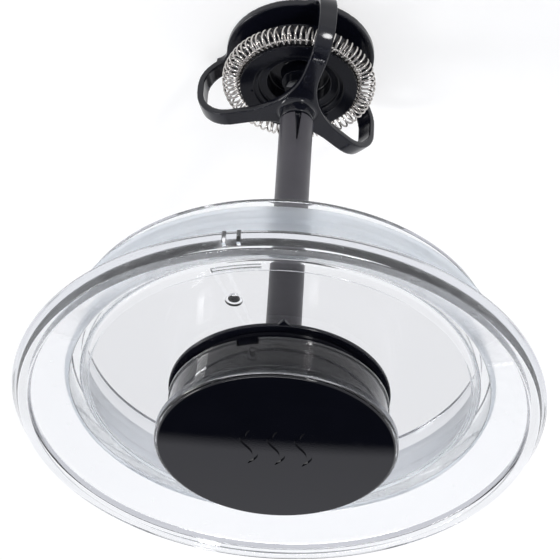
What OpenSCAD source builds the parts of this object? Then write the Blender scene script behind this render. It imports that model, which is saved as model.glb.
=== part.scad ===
// Lid, knob, shaft and magnetic whisk of a milk frother.
// It stands on the underside of the whisk cage: +Z points up to the knob,
// and the origin is the centre of the cage's underside.

/* [Overall] */
// Height from the underside of the cage to the top of the knob
total_h = 121.5; // [110:0.5:140]

/* [Lid] */
// Radius of the brim at its widest
brim_r = 59.6; // [57:0.1:64]
// Radius of the round floor inside the dished brim
floor_r = 43.2; // [40:0.1:44]
// Outer radius of the collar wall that hangs below the brim
collar_r = 47.3; // [46:0.1:49]
// Thickness of the collar wall
collar_t = 2.3; // [1.5:0.1:3]
// Thickness of the floor and brim
lid_t = 2.4; // [1.8:0.1:3]
// Depth of the lid's floor below the top of the knob
floor_drop = 16; // [14:0.5:18]
// Depth of the collar's lower edge below the top of the knob
collar_drop = 31.8; // [28:0.1:36]
// Radius of the vent hole through the floor
vent_r = 1.3; // [0.8:0.1:2]

/* [Knob] */
// Radius of the flange at the top of the knob
knob_r = 27; // [26:0.1:30]
// Radius of the neck below that flange
neck_r = 25; // [24.8:0.1:25.4]
// Radius of the ring that the knob stands on
base_r = 24.9; // [24.6:0.1:25.6]

/* [Shaft] */
// Outer radius of the hollow shaft
shaft_r = 4.1; // [3.6:0.1:5]
// Height of the shaft's lower end above the cage's underside
shaft_end_z = 24; // [23:0.1:25]

/* [Cage] */
// Radius of the bottom plate of the cage
plate_r = 18.4; // [17.4:0.1:19]
// Thickness of the bottom plate
plate_t = 1.8; // [1.4:0.1:2.2]
// Width of each strap
strap_w = 4.3; // [3:0.2:5]
// Thickness of each strap
strap_t = 1.6; // [1.2:0.1:2]
// Radius of the axle pin
axle_r = 1.5; // [1.2:0.1:2]

/* [Whisk wheel] */
// Radius of the circle that the coil spring is bent into
spring_ring_r = 16.7; // [16.6:0.1:17.2]
// Outer radius of the spring's own coils
coil_r = 2.4; // [2:0.1:2.4]
// Radius of the wheel's upper lip
lip_r = 14.5; // [14.3:0.1:14.6]

/* [Hidden] */

$fn = 96;
smooth = 180;
eps = 0.01;
far = 200;
press_gap = 0.01;
running_gap = 0.05;

// Lid levels, measured up from the cage's underside
floor_z = total_h - floor_drop;
floor_under_z = floor_z - lid_t;
collar_z = total_h - collar_drop;
brim_z = total_h - 11.8;
rim_top_z = total_h - 8.8;
rim_under_z = brim_z - 0.9;
step_z = floor_z + 1;
rim_top_r = brim_r - 1.7;
rim_in_r = brim_r - 4.4;
rim_foot_r = brim_r - 3.4;
collar_in_r = collar_r - collar_t;
edge = 0.3;
vent_at = [11, -31];
vent_sink_r = 1.9;
vent_sink_d = 0.6;
post_n = 3;
post_r = 1.1;
post_h = 0.7;
post_ring_r = floor_r - 2.2;
hub_hole_r = 7;

// Seal: a sleeve round the collar with two soft lips
seal_base_r = collar_r + 1;
seal_r = collar_r + 2;
seal_top_z = total_h - 17.5;
seal_z = total_h - 28.4;
seal_lip_h = 4.4;
seal_lip_slope = 0.6;

// Knob: a clear cup with a black disc let into its top, round a black core
knob_play = 0.1;
gasket_t = 0.3;
gasket_r = base_r - 1.2;
gasket_in_r = 11;
base_z = floor_z + knob_play + gasket_t;
base_t = 0.9;
base_top_z = base_z + base_t;
moat_floor_r = base_r - 1.7;
moat_depth = 0.4;
pointer_w = 3.2;
pointer_l = 1.6;
pointer_angle = 270;
neck_foot_z = total_h - 12.2;
neck_foot_r = neck_r - 0.6;
neck_lip_r = neck_r - 0.3;
neck_lip_h = 0.8;
neck_in_r = 23;
flange_z = total_h - 2.7;
disc_r = knob_r - 0.6;
disc_t = 1.4;
disc_edge = 0.4;
spigot_h = 1.8;
notch_angle = 288;
notch_w = 5;
notch_h = 1.9;
core_r = 22;
core_wall = 1.6;
core_floor_t = 1.6;
core_top_z = total_h - disc_t - spigot_h;
core_post_r = 7;
core_rib_t = 1.6;
core_rib_n = 6;
screw_r = 2;
screw_head_r = 3.8;
screw_head_h = 2.2;
screw_len = 14;
screw_slot_w = 1;
screw_slot_d = 1.2;
screw_head_z = core_top_z - 1 - screw_head_h;
washer_r = 5;
washer_t = 0.8;
post_top_z = screw_head_z - washer_t;
insert_r = 2.9;
insert_h = 9;

// Shaft, and the bayonet that holds it under the floor
shaft_bore_r = 2.9;
shaft_top_z = base_top_z + core_floor_t + 1;
slit_n = 4;
slit_w = 1.8;
slit_tip_w = 0.3;
slit_h = 9;
slit_angle = 265;
lock_r = hub_hole_r - running_gap;
lug_r = 9.8;
lug_t = 2;
lug_n = 2;
lug_angle = 60;
key_angle = 72;
lug_play = 0.3;
lug_top_z = floor_under_z - lug_play;
lock_low_z = lug_top_z - 4;

// Cage: the straps run out from the hub, round the spring and back to the plate
strap_angles = [16, 136, 256];
strap_bend_r = 8.6;
strap_bend_at = 17;
strap_top_z = 19.9;
strap_low_z = 0.2;
hub_fillet_r = 20;
root_fillet_r = 3.5;
hub_r = shaft_r;
hub_skirt_r = 1.2;
hub_top_z = shaft_end_z - 0.4;
plug_r = shaft_bore_r - running_gap;
plug_top_z = shaft_end_z + 9;
plug_nose = 0.7;
plate_rim_t = 1.2;
plate_rim_h = 1.9;
boss_r = 4.2;
boss_top_z = 3.6;
axle_z = 0.6;
axle_top_z = 14.4;
groove_z = 12.8;
groove_depth = 0.35;
clip_r = 3.2;
clip_t = 0.5;
thrust_r = 3.4;
thrust_t = 0.4;
thrust_gap = 0.05;

// Whisk wheel
spring_z = 10.5;
wheel_top_z = 12.4;
wheel_low_z = 5.2;
wheel_hub_r = 4.3;
wheel_hub_z = wheel_top_z - 1.8;
recess_r = 7.8;
recess_z = 7;
ledge_r = 10;
ledge_z = 10.6;
step_ring_r = 11.1;
step_ring_d = 0.8;
groove_r = 14.25;
lip_t = 0.6;
lower_flange_r = 15.3;
lower_flange_z = 8.1;
bush_r = 2.9;
bush_z = 4.7;
bush_top_z = 12;
axle_fit = 0.03;
pocket_in_r = 8.5;
pocket_out_r = 13;
magnet_r = 2.15;
magnet_h = 1.7;
magnet_n = 6;
cover_r = 14.2;
cover_t = 0.8;
back_iron_t = 0.6;
wire_r = 0.25;
coil_skin = 0.13;
hoop_ring_r = spring_ring_r - coil_r + coil_skin + wire_r + 0.4;

colour_black = [0.05, 0.055, 0.07];
colour_satin = [0.2, 0.2, 0.22];
colour_smoke = [0.35, 0.35, 0.38, 0.6];
colour_clear = [0.86, 0.9, 0.94, 0.35];
colour_silicone = [0.8, 0.86, 0.92, 0.6];
colour_steel = [0.75, 0.75, 0.76];
colour_brass = [0.72, 0.58, 0.3];

// Tube or washer standing on the origin
module ring(r_out, r_in, h) {
    difference() {
        cylinder(r = r_out, h = h);
        translate([0, 0, -eps]) cylinder(r = r_in, h = h + 2 * eps);
    }
}

// Copies of the children evenly spaced round the axis
module around(n) {
    for (i = [0 : n - 1]) rotate(i * 360 / n) children();
}

// Flat wedge that spans an angle, centred on +X
module wedge(r, angle) {
    polygon([[0, 0], [r, -r * tan(angle / 2)], [r, r * tan(angle / 2)]]);
}

module lid_profile() {
    polygon([
        [hub_hole_r, floor_z],
        [floor_r - edge, floor_z],
        [floor_r, floor_z + edge],
        [floor_r, step_z],
        [collar_r, step_z],
        [rim_in_r, rim_top_z - 1],
        [rim_in_r + 2 * edge, rim_top_z],
        [rim_top_r, rim_top_z],
        [brim_r, brim_z],
        [brim_r - edge, rim_under_z],
        [rim_foot_r, rim_under_z],
        [collar_r, step_z - lid_t],
        [collar_r, collar_z + edge],
        [collar_r - edge, collar_z],
        [collar_in_r + edge, collar_z],
        [collar_in_r, collar_z + edge],
        [collar_in_r, floor_under_z - 1],
        [collar_in_r - 1, floor_under_z],
        [hub_hole_r, floor_under_z]
    ]);
}

// Clear lid: floor with keyed hub hole, dished brim with a thick rim, and collar
module lid_shell() color(colour_clear) {
    difference() {
        rotate_extrude($fn = smooth) lid_profile();
        translate([vent_at.x, vent_at.y, floor_under_z - 1]) cylinder(r = vent_r, h = lid_t + 2);
        translate([vent_at.x, vent_at.y, floor_z - vent_sink_d]) cylinder(r = vent_sink_r, h = 2);
        translate([0, 0, floor_under_z - 1]) linear_extrude(height = lid_t + 2) intersection() {
            circle(r = lug_r + lug_play);
            around(lug_n) wedge(lug_r * 2, key_angle);
        }
    }
    around(post_n) translate([post_ring_r, 0, floor_z - eps])
        cylinder(r = post_r, h = post_h, $fn = 32);
}

module seal_profile() {
    polygon([
        [collar_r, seal_z],
        [seal_base_r, seal_z],
        [seal_r, seal_z + seal_lip_slope],
        [seal_r, seal_z + seal_lip_h - seal_lip_slope],
        [seal_base_r, seal_z + seal_lip_h],
        [seal_base_r, seal_top_z - seal_lip_h],
        [seal_r, seal_top_z - seal_lip_h + seal_lip_slope],
        [seal_r, seal_top_z - seal_lip_slope],
        [seal_base_r, seal_top_z],
        [collar_r, seal_top_z]
    ]);
}

// Soft sleeve round the collar that seals against the jug
module lid_seal() color(colour_silicone)
    rotate_extrude($fn = smooth) seal_profile();

// Ring under the knob with a shallow moat and a pointer at its edge
module knob_base() color(colour_black) {
    difference() {
        translate([0, 0, base_z]) ring(base_r, core_post_r, base_t);
        translate([0, 0, base_top_z - moat_depth]) ring(moat_floor_r, core_r, base_t);
    }
    rotate(pointer_angle) translate([base_r - 1, 0, base_z]) linear_extrude(height = base_t - 0.2)
        polygon([[0, -pointer_w / 2], [1, -pointer_w / 2], [1 + pointer_l, 0], [1, pointer_w / 2], [0, pointer_w / 2]]);
}

// Thin gasket under the base that slides on the lid's floor
module knob_gasket() color(colour_silicone)
    translate([0, 0, floor_z + knob_play]) ring(gasket_r, gasket_in_r, gasket_t);

// Black ribbed cup that joins the knob to the shaft
module knob_core() color(colour_black)
    difference() {
        union() {
            translate([0, 0, base_top_z]) difference() {
                cylinder(r = core_r, h = core_top_z - base_top_z);
                translate([0, 0, core_floor_t]) cylinder(r = core_r - core_wall, h = far);
            }
            translate([0, 0, base_z]) cylinder(r = core_post_r - press_gap, h = post_top_z - base_z);
            around(core_rib_n) translate([0, -core_rib_t / 2, base_top_z])
                cube([core_r - core_wall / 2, core_rib_t, post_top_z - base_top_z - 1]);
        }
        cylinder(r = screw_r + running_gap, h = far);
        cylinder(r = shaft_r + press_gap, h = shaft_top_z);
    }

module neck_profile() {
    polygon([
        [neck_in_r, neck_foot_z],
        [neck_foot_r - edge, neck_foot_z],
        [neck_lip_r, neck_foot_z + edge],
        [neck_lip_r, neck_foot_z + neck_lip_h],
        [neck_foot_r, neck_foot_z + neck_lip_h + edge],
        [neck_r, flange_z - 2 * edge],
        [knob_r - edge, flange_z],
        [knob_r, flange_z + edge],
        [knob_r, total_h - disc_edge - edge],
        [knob_r - edge, total_h - disc_edge],
        [disc_r + press_gap, total_h - disc_edge],
        [disc_r + press_gap, total_h - disc_t - press_gap],
        [neck_in_r, total_h - disc_t - press_gap]
    ]);
}

// Clear neck and flange of the knob, with a small notch in its foot
module knob_neck() color(colour_smoke)
    difference() {
        rotate_extrude($fn = smooth) neck_profile();
        rotate(notch_angle) translate([neck_in_r - 1, -notch_w / 2, neck_foot_z - 1])
            cube([5, notch_w, notch_h + 1]);
    }

// Glossy black disc let into the flange, with a spigot that centres it
module knob_cap() color(colour_black) {
    rotate_extrude($fn = smooth) difference() {
        union() {
            translate([0, total_h - disc_t]) square([disc_r - disc_edge, disc_t]);
            translate([0, total_h - disc_t]) square([disc_r, disc_t - disc_edge]);
            translate([disc_r - disc_edge, total_h - disc_edge]) circle(r = disc_edge, $fn = 32);
        }
        translate([-far, 0]) square([far, far]);
    }
    translate([0, 0, core_top_z]) ring(neck_in_r - press_gap, core_r - core_wall, spigot_h);
}

// Slotted screw down the middle of the knob into the shaft's insert
module knob_screw() color(colour_steel)
    difference() {
        union() {
            translate([0, 0, screw_head_z]) cylinder(r = screw_head_r, h = screw_head_h);
            translate([0, 0, screw_head_z - screw_len]) cylinder(r = screw_r, h = screw_len + eps);
        }
        translate([-screw_head_r - 1, -screw_slot_w / 2, screw_head_z + screw_head_h - screw_slot_d])
            cube([2 * screw_head_r + 2, screw_slot_w, far]);
    }

module screw_washer() color(colour_steel)
    translate([0, 0, post_top_z]) ring(washer_r, screw_r + running_gap, washer_t);

// Brass insert in the top of the shaft that takes the knob's screw
module threaded_insert() color(colour_brass)
    translate([0, 0, shaft_top_z - insert_h])
        ring(insert_r - press_gap, screw_r + press_gap, insert_h);

// One tapered slit of the shaft's springy lower end
module collet_slit() {
    rotate([90, 0, 90]) linear_extrude(height = 2 * shaft_r)
        polygon([[-slit_w / 2, -1], [slit_w / 2, -1], [slit_tip_w / 2, slit_h], [-slit_tip_w / 2, slit_h]]);
}

// Hollow shaft with a slit lower end that grips the cage's plug
module shaft_tube() color(colour_satin)
    translate([0, 0, shaft_end_z]) difference() {
        ring(shaft_r, shaft_bore_r, shaft_top_z - shaft_end_z);
        rotate(slit_angle) around(slit_n) collet_slit();
    }

// Bayonet sleeve pressed on the shaft: its lugs turn in under the lid's floor
module bayonet_lock() color(colour_black)
    difference() {
        union() {
            translate([0, 0, lock_low_z]) cylinder(r = lock_r, h = base_z - lock_low_z);
            translate([0, 0, lug_top_z - lug_t]) rotate(90) linear_extrude(height = lug_t) intersection() {
                circle(r = lug_r);
                around(lug_n) wedge(lug_r * 2, lug_angle);
            }
        }
        cylinder(r = shaft_r + press_gap, h = far);
    }

// Outline of a strap's bend, shrunk by its distance from the outer face
module bend_outline(inset) {
    r = strap_bend_r - inset;
    top_c = strap_top_z - strap_bend_r;
    low_c = strap_low_z + strap_bend_r;
    translate([0, top_c]) square([strap_bend_at, r]);
    translate([0, low_c - r]) square([strap_bend_at, r]);
    translate([strap_bend_at, top_c]) circle(r = r);
    translate([strap_bend_at, low_c]) circle(r = r);
    translate([0, low_c]) square([strap_bend_at + r, top_c - low_c]);
}

// Section of the lantern that the three straps are cut from
module strap_section() {
    difference() {
        bend_outline(0);
        bend_outline(strap_t);
        translate([-far, -far]) square([far, 2 * far]);
    }
}

// Plan of the three straps, with wide fillets where they meet at the hub
module strap_plan() {
    fillet_at = (strap_w / 2 + hub_fillet_r) / sin(60);
    tangent_at = fillet_at * cos(60);
    corners = [for (a = strap_angles, side = [-1, 1])
        [tangent_at * cos(a) - side * strap_w / 2 * sin(a), tangent_at * sin(a) + side * strap_w / 2 * cos(a)]];
    for (a = strap_angles) rotate(a) translate([0, -strap_w / 2]) square([40, strap_w]);
    difference() {
        polygon(corners);
        for (a = strap_angles) rotate(a + 60) translate([fillet_at, 0]) circle(r = hub_fillet_r);
    }
}

// Plan of the fillets where one strap runs into the edge of the plate
module root_plan() {
    centre_y = strap_w / 2 + root_fillet_r;
    centre_x = sqrt(pow(plate_r + root_fillet_r, 2) - pow(centre_y, 2));
    k = plate_r / (plate_r + root_fillet_r);
    difference() {
        polygon([[0, 0], [k * centre_x, -k * centre_y], [centre_x, -strap_w / 2],
            [centre_x, strap_w / 2], [k * centre_x, k * centre_y]]);
        translate([centre_x, centre_y]) circle(r = root_fillet_r);
        translate([centre_x, -centre_y]) circle(r = root_fillet_r);
    }
}

// One-piece cage: plug and hub, three straps and the bottom plate
module whisk_cage() color(colour_black)
    difference() {
        union() {
            intersection() {
                rotate_extrude() strap_section();
                linear_extrude(height = far) strap_plan();
            }
            for (a = strap_angles) rotate(a) translate([0, 0, strap_low_z])
                linear_extrude(height = strap_t) root_plan();
            cylinder(r = plate_r, h = plate_t);
            ring(plate_r, plate_r - plate_rim_t, plate_rim_h);
            cylinder(r = boss_r, h = boss_top_z);
            rotate_extrude() difference() {
                translate([0, strap_top_z - strap_t]) square([hub_r + hub_skirt_r, hub_top_z - strap_top_z + strap_t]);
                translate([hub_r + hub_skirt_r, strap_top_z + hub_skirt_r]) circle(r = hub_skirt_r);
                translate([hub_r, strap_top_z + hub_skirt_r]) square([hub_skirt_r + 1, far]);
            }
            translate([0, 0, hub_top_z - 1]) cylinder(r = plug_r, h = plug_top_z - plug_nose - hub_top_z + 1);
            translate([0, 0, plug_top_z - plug_nose])
                cylinder(r1 = plug_r, r2 = plug_r - plug_nose, h = plug_nose);
        }
        translate([0, 0, axle_z]) cylinder(r = axle_r, h = boss_top_z);
    }

// Steel pin pressed into the plate, with a groove for the clip
module axle_pin() color(colour_steel)
    difference() {
        translate([0, 0, axle_z]) cylinder(r = axle_r, h = axle_top_z - axle_z);
        translate([0, 0, groove_z]) ring(axle_r + 1, axle_r - groove_depth, clip_t + thrust_gap);
    }

module lower_thrust_washer() color(colour_black)
    translate([0, 0, boss_top_z + eps]) ring(thrust_r, axle_r + axle_fit, thrust_t);

module upper_thrust_washer() color(colour_black)
    translate([0, 0, groove_z - thrust_t - thrust_gap]) ring(thrust_r, axle_r + axle_fit, thrust_t);

// Open clip that snaps into the pin's groove
module retaining_clip() color(colour_steel)
    translate([0, 0, groove_z + eps]) difference() {
        ring(clip_r, axle_r - groove_depth + eps, clip_t);
        translate([0, groove_depth - axle_r, -1]) cube([clip_r + 1, 2 * (axle_r - groove_depth), clip_t + 2]);
    }

// Wheel with a stepped recess in its top, a groove for the spring and a magnet pocket below
module wheel_body() color(colour_black)
    difference() {
        rotate_extrude($fn = smooth) polygon([
            [bush_r + press_gap, wheel_low_z],
            [lower_flange_r, wheel_low_z],
            [lower_flange_r, lower_flange_z],
            [groove_r, lower_flange_z + lip_t],
            [groove_r, wheel_top_z - 2 * lip_t],
            [lip_r, wheel_top_z - lip_t],
            [lip_r, wheel_top_z],
            [step_ring_r, wheel_top_z],
            [step_ring_r, wheel_top_z - step_ring_d],
            [ledge_r, wheel_top_z - step_ring_d],
            [ledge_r, ledge_z],
            [recess_r, ledge_z],
            [recess_r, recess_z],
            [wheel_hub_r, recess_z],
            [wheel_hub_r, wheel_hub_z],
            [bush_r + press_gap, wheel_hub_z]
        ]);
        translate([0, 0, wheel_low_z - 1]) cylinder(r = cover_r, h = cover_t + 1);
        translate([0, 0, wheel_low_z])
            ring(pocket_out_r, pocket_in_r, cover_t + magnet_h + back_iron_t);
    }

module wheel_bush() color(colour_black)
    translate([0, 0, bush_z]) ring(bush_r, axle_r + axle_fit, bush_top_z - bush_z);

// Iron ring that closes the magnets' circuit at the top of the pocket
module back_iron() color(colour_steel)
    translate([0, 0, wheel_low_z + cover_t + magnet_h])
        ring(pocket_out_r - press_gap, pocket_in_r + press_gap, back_iron_t - press_gap);

module drive_magnets() color(colour_steel)
    rotate(30) around(magnet_n)
        translate([(pocket_in_r + pocket_out_r) / 2, 0, wheel_low_z + cover_t])
            cylinder(r = magnet_r, h = magnet_h - press_gap, $fn = 48);

// Thin disc that closes the magnet pocket
module wheel_cover() color(colour_black)
    translate([0, 0, wheel_low_z]) ring(cover_r - press_gap, bush_r + press_gap, cover_t - press_gap);

// Envelope of the ring-shaped coil spring, as thin as the wire's own volume
module whisk_spring() color(colour_steel)
    translate([0, 0, spring_z]) rotate_extrude($fn = 120) translate([spring_ring_r, 0]) difference() {
        circle(r = coil_r, $fn = 40);
        circle(r = coil_r - coil_skin, $fn = 40);
    }

// Wire hoop inside the coils that keeps the ring round
module spring_hoop() color(colour_steel)
    translate([0, 0, spring_z]) rotate_extrude($fn = 120) translate([hoop_ring_r, 0])
        circle(r = wire_r, $fn = 24);

lid_shell();
lid_seal();
knob_base();
knob_gasket();
knob_core();
knob_neck();
knob_cap();
knob_screw();
screw_washer();
threaded_insert();
shaft_tube();
bayonet_lock();
whisk_cage();
axle_pin();
lower_thrust_washer();
upper_thrust_washer();
retaining_clip();
wheel_body();
wheel_bush();
back_iron();
drive_magnets();
wheel_cover();
whisk_spring();
spring_hoop();
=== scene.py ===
"""Looks of the milk frother's lid, knob, shaft and whisk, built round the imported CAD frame."""

import math
import random

import bmesh
import bpy
from mathutils import Matrix, Vector


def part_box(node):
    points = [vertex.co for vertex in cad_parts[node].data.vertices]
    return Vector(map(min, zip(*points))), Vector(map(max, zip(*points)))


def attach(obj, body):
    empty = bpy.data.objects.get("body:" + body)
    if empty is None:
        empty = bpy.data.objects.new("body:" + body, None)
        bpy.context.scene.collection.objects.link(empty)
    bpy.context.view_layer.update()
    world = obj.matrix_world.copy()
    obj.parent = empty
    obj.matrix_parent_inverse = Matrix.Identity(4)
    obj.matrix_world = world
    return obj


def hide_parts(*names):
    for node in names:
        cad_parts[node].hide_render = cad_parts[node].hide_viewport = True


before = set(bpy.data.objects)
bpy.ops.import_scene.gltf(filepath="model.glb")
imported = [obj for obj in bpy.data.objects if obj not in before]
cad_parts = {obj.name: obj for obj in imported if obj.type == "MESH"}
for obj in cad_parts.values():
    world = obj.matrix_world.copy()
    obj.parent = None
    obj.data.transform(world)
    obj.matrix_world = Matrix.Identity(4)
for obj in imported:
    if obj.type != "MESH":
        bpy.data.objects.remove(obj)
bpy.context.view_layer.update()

MM = 0.001
TAU = 2 * math.pi
SEGMENTS = 256
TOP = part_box("knob_cap")[1].z / MM  # the knob's top; most outlines are measured down from it, in millimetres

# ---------------------------------------------------------------- camera
CAMERA_DISTANCE = 0.5692
CAMERA_ELEVATION = math.radians(35.41)
CAMERA_ROLL = math.radians(-176.31)
CAMERA_LENS = 165.95
CAMERA_CLIP = 0.01
AIM_DROP = 0.0478
AIM_SIDE = 0.0015


def add_camera():
    """Long lens above the knob, rolled nearly upside down, aimed below the lid."""
    top = Vector((0, 0, TOP * MM))
    reach = CAMERA_DISTANCE * math.cos(CAMERA_ELEVATION)
    rise = CAMERA_DISTANCE * math.sin(CAMERA_ELEVATION)
    place = top + Vector((0, -reach, rise))
    aim = top + Vector((AIM_SIDE, 0, -AIM_DROP))
    data = bpy.data.cameras.new("camera")
    data.lens = CAMERA_LENS
    data.clip_start = CAMERA_CLIP
    camera = bpy.data.objects.new("camera", data)
    bpy.context.collection.objects.link(camera)
    look = (aim - place).to_track_quat("-Z", "Y").to_matrix().to_4x4()
    camera.matrix_world = Matrix.Translation(place) @ look @ Matrix.Rotation(CAMERA_ROLL, 4, "Z")
    bpy.context.scene.camera = camera


# ---------------------------------------------------------------- materials
PLASTIC_IOR = 1.49
SILICONE_IOR = 1.15
CLEAR_WAVE_SCALE = 40
NOISE_LOW, NOISE_HIGH = 0.3, 0.7
TINT_LOW, TINT_HIGH = 0.35, 0.65


def new_material(name):
    """Material, its node tree and its shader."""
    material = bpy.data.materials.new(name)
    material.use_nodes = True
    tree = material.node_tree
    return material, tree, tree.nodes["Principled BSDF"]


def noise(tree, scale, detail=4.0, stretch=(1, 1, 1)):
    """Noise in object space, in metres."""
    place = tree.nodes.new("ShaderNodeTexCoord")
    mapping = tree.nodes.new("ShaderNodeMapping")
    mapping.inputs["Scale"].default_value = stretch
    texture = tree.nodes.new("ShaderNodeTexNoise")
    texture.inputs["Scale"].default_value = scale
    texture.inputs["Detail"].default_value = detail
    tree.links.new(place.outputs["Object"], mapping.inputs["Vector"])
    tree.links.new(mapping.outputs["Vector"], texture.inputs["Vector"])
    return texture.outputs["Fac"]


def spread(tree, value, low, high):
    """Maps the middle of a noise value onto low to high."""
    node = tree.nodes.new("ShaderNodeMapRange")
    node.inputs["From Min"].default_value = NOISE_LOW
    node.inputs["From Max"].default_value = NOISE_HIGH
    node.inputs["To Min"].default_value = low
    node.inputs["To Max"].default_value = high
    tree.links.new(value, node.inputs["Value"])
    return node.outputs["Result"]


def tint(tree, value, dark, light):
    """Colour that drifts between two close shades."""
    node = tree.nodes.new("ShaderNodeValToRGB")
    node.color_ramp.elements[0].position = TINT_LOW
    node.color_ramp.elements[0].color = (*dark, 1)
    node.color_ramp.elements[1].position = TINT_HIGH
    node.color_ramp.elements[1].color = (*light, 1)
    tree.links.new(value, node.inputs["Fac"])
    return node.outputs["Color"]


def bump(tree, shader, height, distance):
    """Fine relief of a given depth in metres."""
    node = tree.nodes.new("ShaderNodeBump")
    node.inputs["Strength"].default_value = 1.0
    node.inputs["Distance"].default_value = distance
    tree.links.new(height, node.inputs["Height"])
    tree.links.new(node.outputs["Normal"], shader.inputs["Normal"])


def plastic(name, dark, light, rough, ripple, grain_scale, shine):
    """Opaque moulded plastic: drifting shade, uneven polish and a faint ripple."""
    material, tree, shader = new_material(name)
    tree.links.new(tint(tree, noise(tree, 90), dark, light), shader.inputs["Base Color"])
    tree.links.new(spread(tree, noise(tree, 240, 6), *rough), shader.inputs["Roughness"])
    shader.inputs["IOR"].default_value = PLASTIC_IOR
    shader.inputs["Specular IOR Level"].default_value = shine
    bump(tree, shader, noise(tree, grain_scale, 3), ripple)
    return material


def clear_plastic(name, colour, rough, ripple):
    """Polished clear plastic with the slow waves of a moulded part."""
    material, tree, shader = new_material(name)
    shader.inputs["Base Color"].default_value = (*colour, 1)
    shader.inputs["Transmission Weight"].default_value = 1.0
    shader.inputs["IOR"].default_value = PLASTIC_IOR
    tree.links.new(spread(tree, noise(tree, 300, 5), *rough), shader.inputs["Roughness"])
    bump(tree, shader, noise(tree, CLEAR_WAVE_SCALE, 2), ripple)
    return material


def silicone(name):
    """Milky translucent rubber with a fine matt skin."""
    material, tree, shader = new_material(name)
    shade = tint(tree, noise(tree, 120), (0.90, 0.94, 0.98), (0.94, 0.97, 1.0))
    tree.links.new(shade, shader.inputs["Base Color"])
    tree.links.new(spread(tree, noise(tree, 900, 4), 0.32, 0.38), shader.inputs["Roughness"])
    shader.inputs["IOR"].default_value = SILICONE_IOR
    shader.inputs["Transmission Weight"].default_value = 0.9
    bump(tree, shader, noise(tree, 2400, 3), 0.000004)
    return material


def metal(name, dark, light, rough, stretch=(1, 1, 1)):
    """Metal with fine drawn or turned marks."""
    material, tree, shader = new_material(name)
    marks = noise(tree, 900, 5, stretch)
    tree.links.new(tint(tree, marks, dark, light), shader.inputs["Base Color"])
    tree.links.new(spread(tree, marks, *rough), shader.inputs["Roughness"])
    shader.inputs["Metallic"].default_value = 1.0
    bump(tree, shader, marks, 0.00001)
    return material


# ---------------------------------------------------------------- mesh helpers
ARC_STEPS = 6        # segments in each rounded corner
EDGE_SHARE = 0.49    # most of an edge that one corner may take
SHARP = 35           # degrees at which an edge stays sharp
WELD = 1e-8          # metres
CUT_WELD = 2e-7      # metres, after a boolean
AXIS_NEAR = 1e-7     # metres
WIRE_SHARP = 60      # the same for wire and for the cage's remeshed skin
LEVEL = 0.9999       # a face whose normal's z is above this is level


def rounded(outline):
    """Closed outline of (r, z, radius) corners, with each corner turned into an arc."""
    points = []
    count = len(outline)
    for i, (r, z, radius) in enumerate(outline):
        corner = Vector((r, z))
        before = Vector(outline[i - 1][:2]) - corner
        after = Vector(outline[(i + 1) % count][:2]) - corner
        if radius <= 0:
            points.append(corner)
            continue
        turn = before.angle(after)
        back = min(radius / math.tan(turn / 2), before.length * EDGE_SHARE, after.length * EDGE_SHARE)
        start = corner + before.normalized() * back
        end = corner + after.normalized() * back
        for k in range(ARC_STEPS + 1):
            t = k / ARC_STEPS
            points.append(start * (1 - t) ** 2 + corner * 2 * t * (1 - t) + end * t * t)
    return points


def finish_mesh(name, mesh_data, material, sharp=SHARP):
    """Object from a bmesh, smooth but for edges sharper than an angle."""
    bmesh.ops.remove_doubles(mesh_data, verts=mesh_data.verts, dist=WELD)
    bmesh.ops.recalc_face_normals(mesh_data, faces=mesh_data.faces)
    mesh = bpy.data.meshes.new(name)
    mesh_data.to_mesh(mesh)
    mesh_data.free()
    mesh.materials.append(material)
    piece = bpy.data.objects.new(name, mesh)
    bpy.context.collection.objects.link(piece)
    smooth(piece, sharp)
    return piece


def smooth(piece, sharp=SHARP):
    """Smooth shading that keeps level faces flat up to their rounded edges."""
    mesh = piece.data
    stale = mesh.attributes.get("custom_normal")
    if stale:
        mesh.attributes.remove(stale)
    mesh.polygons.foreach_set("use_smooth", [abs(face.normal.z) < LEVEL for face in mesh.polygons])
    mesh.set_sharp_from_angle(angle=math.radians(sharp))
    weighted = piece.modifiers.new("weighted", "WEIGHTED_NORMAL")
    weighted.keep_sharp = True
    apply_modifiers(piece)


def lathe(name, outline, material, segments=SEGMENTS, lift=0.0):
    """Turns a closed (r, z) outline in millimetres round the Z axis; a disc on the axis is one face."""
    work = bmesh.new()
    rings = []
    for k in range(segments):
        angle = TAU * k / segments
        c, s = math.cos(angle), math.sin(angle)
        rings.append([work.verts.new((r * c * MM, r * s * MM, (z + lift) * MM)) for r, z in outline])
    count = len(outline)
    for k in range(segments):
        a, b = rings[k], rings[(k + 1) % segments]
        for i in range(count):
            j = (i + 1) % count
            if outline[i][0] > 0 or outline[j][0] > 0:
                work.faces.new([a[i], b[i], b[j], a[j]])
    bmesh.ops.remove_doubles(work, verts=work.verts, dist=WELD)
    poles = [vert for vert in work.verts if math.hypot(vert.co.x, vert.co.y) < AXIS_NEAR]
    if poles:
        bmesh.ops.dissolve_verts(work, verts=poles)
    return finish_mesh(name, work, material)


def prism(name, polygon, low, high, material):
    """Upright prism over a polygon in millimetres."""
    work = bmesh.new()
    floor = [work.verts.new((x * MM, y * MM, low * MM)) for x, y in polygon]
    roof = [work.verts.new((x * MM, y * MM, high * MM)) for x, y in polygon]
    work.faces.new(floor)
    work.faces.new(roof)
    count = len(polygon)
    for i in range(count):
        j = (i + 1) % count
        work.faces.new([floor[i], floor[j], roof[j], roof[i]])
    return finish_mesh(name, work, material)


def sector(low_r, high_r, first, last, steps=12):
    """Outline of a piece of a flat ring between two angles in degrees."""
    angles = [math.radians(first + (last - first) * k / steps) for k in range(steps + 1)]
    outer = [(high_r * math.cos(a), high_r * math.sin(a)) for a in angles]
    return outer + [(low_r * math.cos(a), low_r * math.sin(a)) for a in reversed(angles)]


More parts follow.
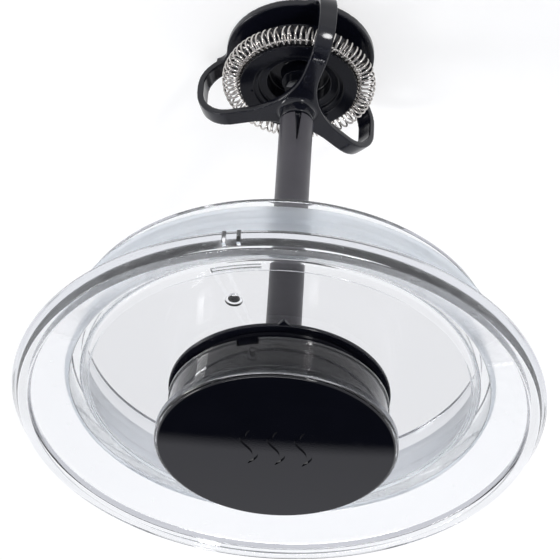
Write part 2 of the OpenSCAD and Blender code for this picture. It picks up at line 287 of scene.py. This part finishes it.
def circle_points(x, y, radius, count=48):
    """Outline of a circle."""
    angles = [TAU * k / count for k in range(count)]
    return [(x + radius * math.cos(a), y + radius * math.sin(a)) for a in angles]


def apply_modifiers(piece):
    """Makes the result of a piece's modifiers its own mesh."""
    bpy.context.view_layer.update()
    graph = bpy.context.evaluated_depsgraph_get()
    mesh = bpy.data.meshes.new_from_object(piece.evaluated_get(graph))
    piece.modifiers.clear()
    piece.data = mesh


def cut(piece, tools, operation="DIFFERENCE"):
    """Cuts the tools out of a piece, or joins them to it, removes them and cleans the mesh."""
    for tool in tools:
        modifier = piece.modifiers.new("cut", "BOOLEAN")
        modifier.operation = operation
        modifier.solver = "EXACT"
        modifier.object = tool
    apply_modifiers(piece)
    for tool in tools:
        bpy.data.objects.remove(tool)
    work = bmesh.new()
    work.from_mesh(piece.data)
    bmesh.ops.remove_doubles(work, verts=work.verts, dist=CUT_WELD)
    bmesh.ops.dissolve_degenerate(work, edges=work.edges, dist=CUT_WELD)
    work.to_mesh(piece.data)
    work.free()
    smooth(piece)


def stand_for(piece, body, node):
    """Rides a piece on a body, in the place of a CAD node."""
    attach(piece, body)
    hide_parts(node)
    return piece


# ---------------------------------------------------------------- lid
FLOOR = -16.0
FLOOR_T = 2.4
UNDER = FLOOR - FLOOR_T
STEP = FLOOR + 1
HUB_HOLE = 7.0
FLOOR_R = 43.2
COLLAR_R = 47.3
COLLAR_IN = 45.0
COLLAR_Z = -31.8
BRIM_R = 59.6
BRIM_Z = -11.8
RIM_Z = -8.8
VENT = (11.0, -31.0)
VENT_R = 1.3
SINK_R = 1.9
SINK_T = 0.6
KEY_R = 9.9
KEY_HALF = 36           # degrees each side of a key's middle
KEY_ANGLES = (0, 180)
SLOT = (43.9, 45.3, 277, 291)   # low and high radius, first and last angle
RIB_ANGLES = (279.6, 282.6)
RIB_TURN = 0.8
PROUD = 0.12            # how far a moulded rib or seam stands out
SEAL_R = 48.3
LIP_R = 49.3
SEAM_ANGLES = (279.0, 294.0)
SEAM_TURN = 0.4


def make_lid(material, floor_painted_shade_material, frosted):
    """Clear lid with its floor, dished brim, thick rim, collar, vent and keyed hub hole."""
    outline = rounded([
        (HUB_HOLE, FLOOR, 0.15), (FLOOR_R, FLOOR, 0.5), (FLOOR_R, STEP, 0.3), (COLLAR_R, STEP, 0.8),
        (BRIM_R - 4.4, RIM_Z - 1, 0.8), (BRIM_R - 3.8, RIM_Z, 0.5), (BRIM_R - 1.7, RIM_Z, 0.45),
        (BRIM_R, BRIM_Z, 0.5), (BRIM_R - 0.3, BRIM_Z - 0.9, 0.3), (BRIM_R - 3.4, BRIM_Z - 0.9, 0.9),
        (COLLAR_R, STEP - FLOOR_T, 0.4), (COLLAR_R, COLLAR_Z, 0.4), (COLLAR_IN, COLLAR_Z, 0.4),
        (COLLAR_IN, UNDER, 1.2), (HUB_HOLE, UNDER, 0.15)])
    lid = lathe("lid_clear", outline, material, lift=TOP)
    through = (TOP + UNDER - 1, TOP + FLOOR + 1)
    vent = prism("cut_vent", circle_points(*VENT, VENT_R), *through, material)
    sink = prism("cut_sink", circle_points(*VENT, SINK_R), TOP + FLOOR - SINK_T, TOP + FLOOR + 1, material)
    keys = [prism("cut_key", sector(4, KEY_R, side - KEY_HALF, side + KEY_HALF), *through, material)
            for side in KEY_ANGLES]
    slot = prism("cut_slot", sector(*SLOT), TOP + FLOOR + 0.3, TOP + FLOOR + 2, material)
    cut(lid, [vent, sink, slot] + keys)
    ribs = [prism("rim_rib", sector(BRIM_R - 1.2, BRIM_R + PROUD, a, a + RIB_TURN),
                  TOP + BRIM_Z - 0.7, TOP + RIM_Z - 0.5, material)
            for a in RIB_ANGLES]
    cut(lid, ribs, "UNION")
    lid.data.materials.append(floor_painted_shade_material)
    lid.data.materials.append(frosted)
    for face in lid.data.polygons:
        middle = face.center / MM
        reach = math.hypot(middle.x, middle.y)
        # floor faces take the darker copy of the clear plastic (painted shade); the vent walls and the brim's
        # underside take the frosted one
        if reach < FLOOR_R - 0.1 and TOP + UNDER - 0.1 < middle.z:
            near_vent = math.hypot(middle.x - VENT[0], middle.y - VENT[1]) < SINK_R + 0.1
            face.material_index = 2 if near_vent else 1
        elif face.normal.z < -0.3 and COLLAR_R < reach < BRIM_R - 3.3:
            face.material_index = 2
    return stand_for(lid, "lid", "lid_shell")


def make_seal(material):
    """Soft sleeve with two lips."""
    outline = rounded([
        (COLLAR_R, -28.4, 0.1), (SEAL_R, -28.4, 0.3), (LIP_R, -27.8, 0.5), (LIP_R, -24.6, 0.5),
        (SEAL_R, -24.0, 0.4), (SEAL_R, -21.9, 0.4), (LIP_R, -21.3, 0.5), (LIP_R, -18.1, 0.5),
        (SEAL_R, -17.5, 0.3), (COLLAR_R, -17.5, 0.1)])
    sleeve = lathe("seal_sleeve", outline, material, lift=TOP)
    seams = [prism("seam", sector(SEAL_R - 0.3, SEAL_R + PROUD, a, a + SEAM_TURN, 2),
                   TOP - 24.6, TOP - 21.4, material)
             for a in SEAM_ANGLES]
    cut(sleeve, seams, "UNION")
    return stand_for(sleeve, "lid", "lid_seal")


# ---------------------------------------------------------------- knob
BASE_R = 24.9
BASE_Z = -15.6
BASE_TOP = -14.7
BASE_HOLE = 7.0
NECK_IN = 23.0
FLANGE_R = 27.0
NOTCH_ANGLE = 288
NOTCH_HALF = 2.5
CAP_R = 26.4
CAP_T = 1.4
CORE_R = 22.0
CORE_IN = 20.4
CORE_RIBS = 6
RIB_HALF = 0.8
POST_R = 6.99
SCREW_R = 2.05
SHAFT_R = 4.1
STEAM_X = (-6.0, 0.0, 6.0)
STEAM_REACH = 6.2
STEAM_SWAY = 1.5
STEAM_HALF = 0.75
STEAM_DEPTH = 0.35
STEAM_STEPS = 24


def make_base(material):
    """Black ring on the lid's floor, and the small pointer on its edge."""
    outline = rounded([
        (BASE_HOLE, BASE_Z, 0.1), (BASE_R, BASE_Z, 0.2), (BASE_R, BASE_TOP, 0.3), (23.2, BASE_TOP, 0.15),
        (23.2, -15.1, 0.1), (CORE_R, -15.1, 0.1), (CORE_R, BASE_TOP, 0.1), (BASE_HOLE, BASE_TOP, 0.1)])
    base = lathe("knob_base_ring", outline, material, lift=TOP)
    stand_for(base, "knob_and_shaft", "knob_base")
    tip = [(-1.6, -24.3), (1.6, -24.3), (1.3, -24.9), (0.25, -26.4), (-0.25, -26.4), (-1.3, -24.9)]
    pointer = prism("knob_pointer", tip, TOP + BASE_Z, TOP - 14.9, material)
    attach(pointer, "knob_and_shaft")


def make_neck(material, rim_material):
    """Clear cup of the knob, with its flange, foot lip and notch."""
    outline = rounded([
        (NECK_IN, -12.2, 0.2), (24.3, -12.2, 0.3), (24.7, -11.9, 0.25), (24.7, -11.4, 0.3),
        (24.4, -11.1, 0.3), (25.0, -3.3, 0.6), (FLANGE_R - 0.3, -2.7, 0.3), (FLANGE_R, -2.4, 0.4),
        (FLANGE_R, -0.7, 0.3), (FLANGE_R - 0.3, -0.4, 0.3), (CAP_R + 0.01, -0.4, 0.02),
        (CAP_R + 0.01, -CAP_T - 0.01, 0.02), (NECK_IN, -CAP_T - 0.01, 0.1)])
    neck = lathe("knob_neck_clear", outline, material, lift=TOP)
    angle = math.radians(NOTCH_ANGLE)
    across = Vector((-math.sin(angle), math.cos(angle))) * NOTCH_HALF
    out = Vector((math.cos(angle), math.sin(angle)))
    near, far = out * CORE_R, out * FLANGE_R
    corners = [near - across, far - across, far + across, near + across]
    cut(neck, [prism("cut_notch", [tuple(c) for c in corners], TOP - 13, TOP - 10.3, material)])
    neck.data.materials.append(rim_material)
    for face in neck.data.polygons:
        at_flange = math.hypot(face.center.x, face.center.y) > (CAP_R - 0.1) * MM
        at_foot = face.center.z < (TOP - 11) * MM
        if at_flange or at_foot:
            face.material_index = 1
    return stand_for(neck, "knob_and_shaft", "knob_neck")


def steam_line(x, material):
    """Tool for one engraved wavy line, tapered at its ends."""
    left, right = [], []
    for k in range(STEAM_STEPS + 1):
        t = k / STEAM_STEPS
        width = STEAM_HALF * math.sqrt(max(0.02, math.sin(math.pi * t)))
        bend = x + STEAM_SWAY * math.sin(TAU * t)
        left.append((bend - width, STEAM_REACH * (2 * t - 1)))
        right.append((bend + width, STEAM_REACH * (2 * t - 1)))
    return prism("cut_steam", left + right[::-1], TOP - STEAM_DEPTH, TOP + 1, material)


def make_cap(material):
    """Polished disc with three engraved lines, and the ring that locates it."""
    outline = rounded([
        (0.0, 0.0, 0), (CAP_R, 0.0, 0.4), (CAP_R, -CAP_T, 0.05), (NECK_IN - 0.01, -CAP_T, 0.05),
        (NECK_IN - 0.01, -3.2, 0.1), (CORE_IN, -3.2, 0.1), (CORE_IN, -CAP_T, 0.1), (0.0, -CAP_T, 0)])
    cap = lathe("knob_disc", outline, material, lift=TOP)
    cut(cap, [steam_line(x, material) for x in STEAM_X])
    return stand_for(cap, "knob_and_shaft", "knob_cap")


def make_core(material):
    """Black cup with a ribbed post, which shows through the clear neck."""
    outline = rounded([
        (SHAFT_R + 0.01, BASE_Z, 0.1), (BASE_HOLE - 0.05, BASE_Z, 0.1),
        (BASE_HOLE - 0.05, BASE_TOP + 0.01, 0.1), (CORE_R, BASE_TOP + 0.01, 0.25), (CORE_R, -3.21, 0.25),
        (CORE_IN, -3.21, 0.15), (CORE_IN, -13.1, 0.6), (POST_R, -13.1, 0.6), (POST_R, -7.2, 0.2),
        (SCREW_R, -7.2, 0.15), (SCREW_R, -12.1, 0.1), (SHAFT_R + 0.01, -12.1, 0.1)])
    core = lathe("knob_core_cup", outline, material, lift=TOP)
    ribs = []
    near, far = 5.5, 21.0
    for k in range(CORE_RIBS):
        turn = Matrix.Rotation(TAU * k / CORE_RIBS, 2)
        corners = [turn @ Vector((x, y)) for x, y in (
            (near, -RIB_HALF), (far, -RIB_HALF), (far, RIB_HALF), (near, RIB_HALF))]
        ribs.append(prism("core_rib", [tuple(c) for c in corners], TOP - 13.6, TOP - 8.2, material))
    cut(core, ribs, "UNION")
    return stand_for(core, "knob_and_shaft", "knob_core")


# ---------------------------------------------------------------- shaft
SHAFT_IN = 2.9
SHAFT_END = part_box("shaft_tube")[0].z / MM
SLITS = 4
SLIT_START = 265     # degrees
SLIT_HALF = 0.9      # at the shaft's end
SLIT_TIP = 0.15      # at the slit's inner end
SLIT_H = 9.0


def make_shaft(material):
    """Hollow shaft whose lower end is split by four tapered slits."""
    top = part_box("shaft_tube")[1].z / MM
    outline = rounded([
        (SHAFT_IN, SHAFT_END, 0.1), (SHAFT_R, SHAFT_END, 0.25), (SHAFT_R, top, 0.1), (SHAFT_IN, top, 0.05)])
    shaft = lathe("shaft_barrel", outline, material, segments=128)
    shape = [(-SLIT_HALF, -1.0), (SLIT_HALF, -1.0), (SLIT_TIP, SLIT_H), (-SLIT_TIP, SLIT_H)]
    tools = []
    for k in range(SLITS):
        turn = Matrix.Rotation(math.radians(SLIT_START + 360 / SLITS * k), 4, "Z")
        work = bmesh.new()
        near, far = ([work.verts.new(turn @ Vector((x * MM, y * MM, (SHAFT_END + z) * MM))) for y, z in shape]
                     for x in (1.5, 6))
        work.faces.new(near)
        work.faces.new(far)
        for i in range(len(shape)):
            j = (i + 1) % len(shape)
            work.faces.new([near[i], near[j], far[j], far[i]])
        tools.append(finish_mesh("cut_slit", work, material))
    cut(shaft, tools)
    return stand_for(shaft, "knob_and_shaft", "shaft_tube")


# ---------------------------------------------------------------- cage
CAGE_VOXEL = 0.22
PIN_MARKS = ((16, 10.7), (136, 12.2), (256, 11.5))  # angle and radius of each ejector mark
PIN_MARK_R = 1.55
PIN_MARK_WIRE = 0.06
STRAP_TOP = 19.86


def make_cage(material):
    """Moulded cage: the CAD shape with its corners rounded as a mould leaves them."""
    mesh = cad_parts["whisk_cage"].data.copy()
    cage = bpy.data.objects.new("cage_moulding", mesh)
    bpy.context.collection.objects.link(cage)
    remesh = cage.modifiers.new("remesh", "REMESH")
    remesh.mode = "VOXEL"
    remesh.voxel_size = CAGE_VOXEL * MM
    relax = cage.modifiers.new("relax", "SMOOTH")
    relax.factor = 0.5
    relax.iterations = 6
    apply_modifiers(cage)
    cage.data.materials.clear()
    cage.data.materials.append(material)
    smooth(cage, WIRE_SHARP)
    stand_for(cage, "cage", "whisk_cage")
    for k, (degrees, reach) in enumerate(PIN_MARKS):
        angle = math.radians(degrees)
        turns = [TAU * j / 8 for j in range(8)]
        ring = [(PIN_MARK_R + PIN_MARK_WIRE * math.cos(t), PIN_MARK_WIRE * math.sin(t)) for t in turns]
        mark = lathe("cage_pin_mark_%d" % k, ring, material, segments=48)
        place = Vector((reach * math.cos(angle), reach * math.sin(angle), STRAP_TOP)) * MM
        mark.data.transform(Matrix.Translation(place))
        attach(mark, "cage")


# ---------------------------------------------------------------- whisk wheel
SPRING_Z = 10.5
RING_R = 16.7
COIL_R = 2.4
WIRE_R = 0.25
COILS = 71
COIL_STEPS = 22
COIL_DRIFT = 0.2     # unevenness, as a share of a coil's pitch
COIL_LEAN = 0.22
COIL_LEAN_PHASE = 0.9
COIL_SHRINK = 0.03
HOOP_STEPS = 160
GATE_ANGLES = (8, 128, 248)


def wire(name, path, radius, material, sides=10):
    """Closed round wire through a loop of points, in millimetres."""
    work = bmesh.new()
    count = len(path)
    rings = []
    for k in range(count):
        ahead = (path[(k + 1) % count] - path[k - 1]).normalized()
        out = Vector((path[k].x, path[k].y, 0)).normalized()
        side = ahead.cross(out)
        side = side.normalized() if side.length > 0.2 else ahead.cross(Vector((0, 0, 1))).normalized()
        up = side.cross(ahead)
        rings.append((path[k], side, up))
    loops = []
    last = rings[0][1]
    for point, side, up in rings:
        ahead = side.cross(up)
        side = (last - ahead * last.dot(ahead)).normalized()
        up = side.cross(ahead) * -1
        last = side
        spokes = [side * math.cos(TAU * j / sides) + up * math.sin(TAU * j / sides) for j in range(sides)]
        loops.append([work.verts.new((point + spoke * radius) * MM) for spoke in spokes])
    for k in range(count - 1):
        for j in range(sides):
            i = (j + 1) % sides
            work.faces.new([loops[k][j], loops[k][i], loops[k + 1][i], loops[k + 1][j]])
    work.faces.new(loops[0])
    work.faces.new(loops[-1])
    return finish_mesh(name, work, material, WIRE_SHARP)


def make_spring(material):
    """Coil spring bent into a ring, its coils a little uneven, and its hoop."""
    random.seed(7)
    path = []
    mean_r = COIL_R - WIRE_R
    wobble = [random.uniform(-1, 1) for _ in range(COILS + 1)]
    for k in range(COILS * COIL_STEPS):
        turn = k / COIL_STEPS
        i = int(turn) % COILS
        t = turn - int(turn)
        drift = wobble[i] * (1 - t) + wobble[(i + 1) % COILS] * t
        coil = TAU * turn
        lean = COIL_LEAN * math.sin(coil + COIL_LEAN_PHASE)
        along = TAU * (turn + COIL_DRIFT * drift + lean) / COILS
        reach = mean_r * (1 - COIL_SHRINK * abs(drift))
        r = RING_R + reach * math.cos(coil)
        z = SPRING_Z + reach * math.sin(coil)
        path.append(Vector((r * math.cos(along), r * math.sin(along), z)))
    stand_for(wire("spring_coil", path, WIRE_R, material), "wheel", "whisk_spring")
    hoop_r = RING_R - COIL_R + 2 * WIRE_R + 0.5
    angles = [TAU * k / HOOP_STEPS for k in range(HOOP_STEPS)]
    hoop = [Vector((hoop_r * math.cos(a), hoop_r * math.sin(a), SPRING_Z + 0.4)) for a in angles]
    hoop.append(hoop[0].copy())
    stand_for(wire("spring_core_hoop", hoop, WIRE_R, material), "wheel", "spring_hoop")


def make_wheel(material):
    """Wheel with its magnet channel, spring seat, stepped recess, hub and three gate marks."""
    channel = [(8.5, 6.0, 0.05), (8.5, 8.3, 0.05), (13.0, 8.3, 0.05), (13.0, 6.0, 0.05)]
    seat = [(14.2, 6.0, 0.05), (14.2, 5.2, 0.05), (15.3, 5.2, 0.3), (15.3, 8.1, 0.4), (14.25, 8.7, 0.4)]
    lip = [(14.25, 11.2, 0.3), (14.5, 11.8, 0.2), (14.5, 12.4, 0.25), (11.1, 12.4, 0.25)]
    recess = [(11.1, 11.6, 0.15), (10.0, 11.6, 0.3), (9.95, 10.6, 0.3), (7.8, 10.6, 0.35), (7.75, 7.0, 0.5)]
    hub = [(4.3, 7.0, 0.5), (4.25, 10.6, 0.25), (2.91, 10.6, 0.1)]
    outline = rounded([(2.91, 6.0, 0.05)] + channel + seat + lip + recess + hub)
    wheel = lathe("wheel_moulding", outline, material)
    gates = [prism("cut_gate", sector(11.3, 11.9, a, a + 3, 3), 12.1, 13, material) for a in GATE_ANGLES]
    cut(wheel, gates)
    return stand_for(wheel, "wheel", "wheel_body")


# ---------------------------------------------------------------- stage
OFF, ON = (0, 0, 0), (1, 1, 1)
SKY = [(0.0, (0.92, 0.93, 0.97)), (0.50, (0.80, 0.81, 0.85)), (0.58, (0.68, 0.68, 0.73)),
       (0.80, (0.66, 0.67, 0.71)), (0.97, (0.40, 0.41, 0.45))]
FLAG_HEIGHT = [(0.5803, OFF), (0.5811, ON), (0.625, ON), (0.645, OFF)]
FLAG_AHEAD = [(0.60, OFF), (0.65, ON)]
FLAG_ASIDE = [(0.10, ON), (0.16, OFF)]
FLAG_COLOUR = (0.02, 0.022, 0.028, 1)
FLOOR_HALF = 4.0      # metres
FLOOR_DROP = 0.2      # millimetres below the object
AIM = Vector((0, 0, 0.06))
SOFTBOXES = (         # name, place, size and watts
    ("softbox_left", (-0.72, -1.35, 0.85), (0.28, 0.45), 8.0),
    ("softbox_right", (1.1, 0.1, 1.0), (0.3, 0.5), 5.0),
    ("softbox_back", (0.1, 0.7, 1.6), (0.6, 0.2), 4.0))


def ramp(nodes, stops):
    """Colour ramp through (position, colour) stops, in rising order."""
    node = nodes.new("ShaderNodeValToRGB")
    elements = node.color_ramp.elements
    elements[0].position, elements[0].color = stops[0][0], (*stops[0][1], 1)
    elements[1].position, elements[1].color = stops[-1][0], (*stops[-1][1], 1)
    for position, colour in stops[1:-1]:
        elements.new(position).color = (*colour, 1)
    return node


def add_world():
    """Bright room that darkens overhead, with one dark flag behind the object."""
    world = bpy.data.worlds.new("studio")
    bpy.context.scene.world = world
    world.use_nodes = True
    nodes, links = world.node_tree.nodes, world.node_tree.links
    place = nodes.new("ShaderNodeTexCoord")
    split = nodes.new("ShaderNodeSeparateXYZ")
    links.new(place.outputs["Generated"], split.inputs["Vector"])
    sky = ramp(nodes, SKY)
    links.new(split.outputs["Z"], sky.inputs["Fac"])
    height = ramp(nodes, FLAG_HEIGHT)
    links.new(split.outputs["Z"], height.inputs["Fac"])
    ahead = ramp(nodes, FLAG_AHEAD)
    links.new(split.outputs["Y"], ahead.inputs["Fac"])
    aside = nodes.new("ShaderNodeMath")
    aside.operation = "ABSOLUTE"
    links.new(split.outputs["X"], aside.inputs[0])
    across = ramp(nodes, FLAG_ASIDE)
    links.new(aside.outputs["Value"], across.inputs["Fac"])
    flag = height.outputs["Color"]
    for edge in (ahead, across):
        both = nodes.new("ShaderNodeMath")
        both.operation = "MULTIPLY"
        links.new(flag, both.inputs[0])
        links.new(edge.outputs["Color"], both.inputs[1])
        flag = both.outputs["Value"]
    mix = nodes.new("ShaderNodeMix")
    mix.data_type = "RGBA"
    links.new(flag, mix.inputs["Factor"])
    links.new(sky.outputs["Color"], mix.inputs[6])
    mix.inputs[7].default_value = FLAG_COLOUR
    links.new(mix.outputs[2], nodes["Background"].inputs["Color"])
    nodes["Background"].inputs["Strength"].default_value = 1.0


def add_floor():
    """Pale floor just under the object."""
    low = -FLOOR_DROP * MM
    corners = [(x * FLOOR_HALF, y * FLOOR_HALF, low) for x, y in ((-1, -1), (1, -1), (1, 1), (-1, 1))]
    mesh = bpy.data.meshes.new("floor")
    mesh.from_pydata(corners, [], [(0, 1, 2, 3)])
    floor = bpy.data.objects.new("floor", mesh)
    bpy.context.collection.objects.link(floor)
    material, tree, shader = new_material("floor_white")
    shade = tint(tree, noise(tree, 3), (0.42, 0.42, 0.42), (0.45, 0.45, 0.45))
    tree.links.new(shade, shader.inputs["Base Color"])
    shader.inputs["Roughness"].default_value = 0.9
    shader.inputs["Specular IOR Level"].default_value = 0.0
    shader.inputs["Emission Color"].default_value = (1, 1, 1, 1)
    shader.inputs["Emission Strength"].default_value = 0.6
    mesh.materials.append(material)


def add_stage():
    """Floor, soft world light and three softboxes."""
    add_floor()
    add_world()
    for name, place, size, power in SOFTBOXES:
        data = bpy.data.lights.new(name, "AREA")
        data.shape = "ELLIPSE"
        data.size, data.size_y = size
        data.energy = power
        light = bpy.data.objects.new(name, data)
        bpy.context.collection.objects.link(light)
        light.location = place
        light.rotation_euler = (AIM - Vector(place)).to_track_quat("-Z", "Y").to_euler()
    bpy.context.scene.view_settings.view_transform = "Standard"


# ---------------------------------------------------------------- put together
def finish_cad_nodes(looks):
    """Gives every CAD node that still shows its own material."""
    for node, material in looks.items():
        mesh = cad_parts[node].data
        mesh.materials.clear()
        mesh.materials.append(material)


def main():
    """Camera and stage, materials, then the pieces from the lid down."""
    add_camera()
    add_stage()
    mirror = plastic("black_polished", (0.0015, 0.0017, 0.0035), (0.002, 0.0022, 0.0045),
                     (0.0, 0.02), 0.0000003, 2200, 0.55)
    black = plastic("black_gloss", (0.0035, 0.004, 0.0075), (0.005, 0.0055, 0.010),
                    (0.10, 0.17), 0.000001, 2200, 0.45)
    moulded = plastic("black_moulded", (0.0035, 0.004, 0.007), (0.005, 0.0055, 0.009),
                      (0.14, 0.26), 0.000003, 2600, 0.22)
    satin = plastic("black_satin", (0.040, 0.038, 0.045), (0.048, 0.045, 0.054),
                    (0.30, 0.42), 0.00001, 3600, 0.4)
    polish = (0.0, 0.03)
    clear = clear_plastic("clear_lid", (0.925, 0.935, 0.95), polish, 0.00003)
    # the lid's floor takes a darker copy of the same clear plastic: painted shade that greys what shows
    # through the floor
    clear_floor_painted_shade = clear_plastic("clear_lid_floor_painted_shade", (0.86, 0.865, 0.88), polish, 0.00003)
    frosted = clear_plastic("clear_lid_underside", (0.955, 0.965, 0.985), (0.18, 0.28), 0.00003)
    clear_neck = clear_plastic("clear_neck", (0.38, 0.365, 0.375), polish, 0.000004)
    milky = silicone("silicone")
    spring_wire = metal("spring_steel", (0.50, 0.475, 0.45), (0.66, 0.635, 0.61), (0.10, 0.20))
    steel = metal("steel", (0.50, 0.50, 0.51), (0.62, 0.62, 0.63), (0.25, 0.4), (1, 1, 12))
    brass = metal("brass", (0.60, 0.44, 0.20), (0.72, 0.55, 0.28), (0.25, 0.4), (1, 1, 10))
    nickel = metal("magnet", (0.60, 0.59, 0.57), (0.72, 0.71, 0.69), (0.15, 0.3))
    make_lid(clear, clear_floor_painted_shade, frosted)
    make_seal(milky)
    make_base(black)
    make_neck(clear_neck, clear)
    make_cap(mirror)
    make_core(moulded)
    make_shaft(satin)
    make_cage(black)
    make_spring(spring_wire)
    make_wheel(moulded)
    finish_cad_nodes({
        "knob_gasket": milky, "knob_screw": steel, "screw_washer": steel,
        "threaded_insert": brass, "bayonet_lock": moulded, "axle_pin": steel,
        "lower_thrust_washer": moulded, "upper_thrust_washer": moulded, "retaining_clip": steel,
        "wheel_bush": moulded, "back_iron": steel, "drive_magnets": nickel, "wheel_cover": moulded})


main()
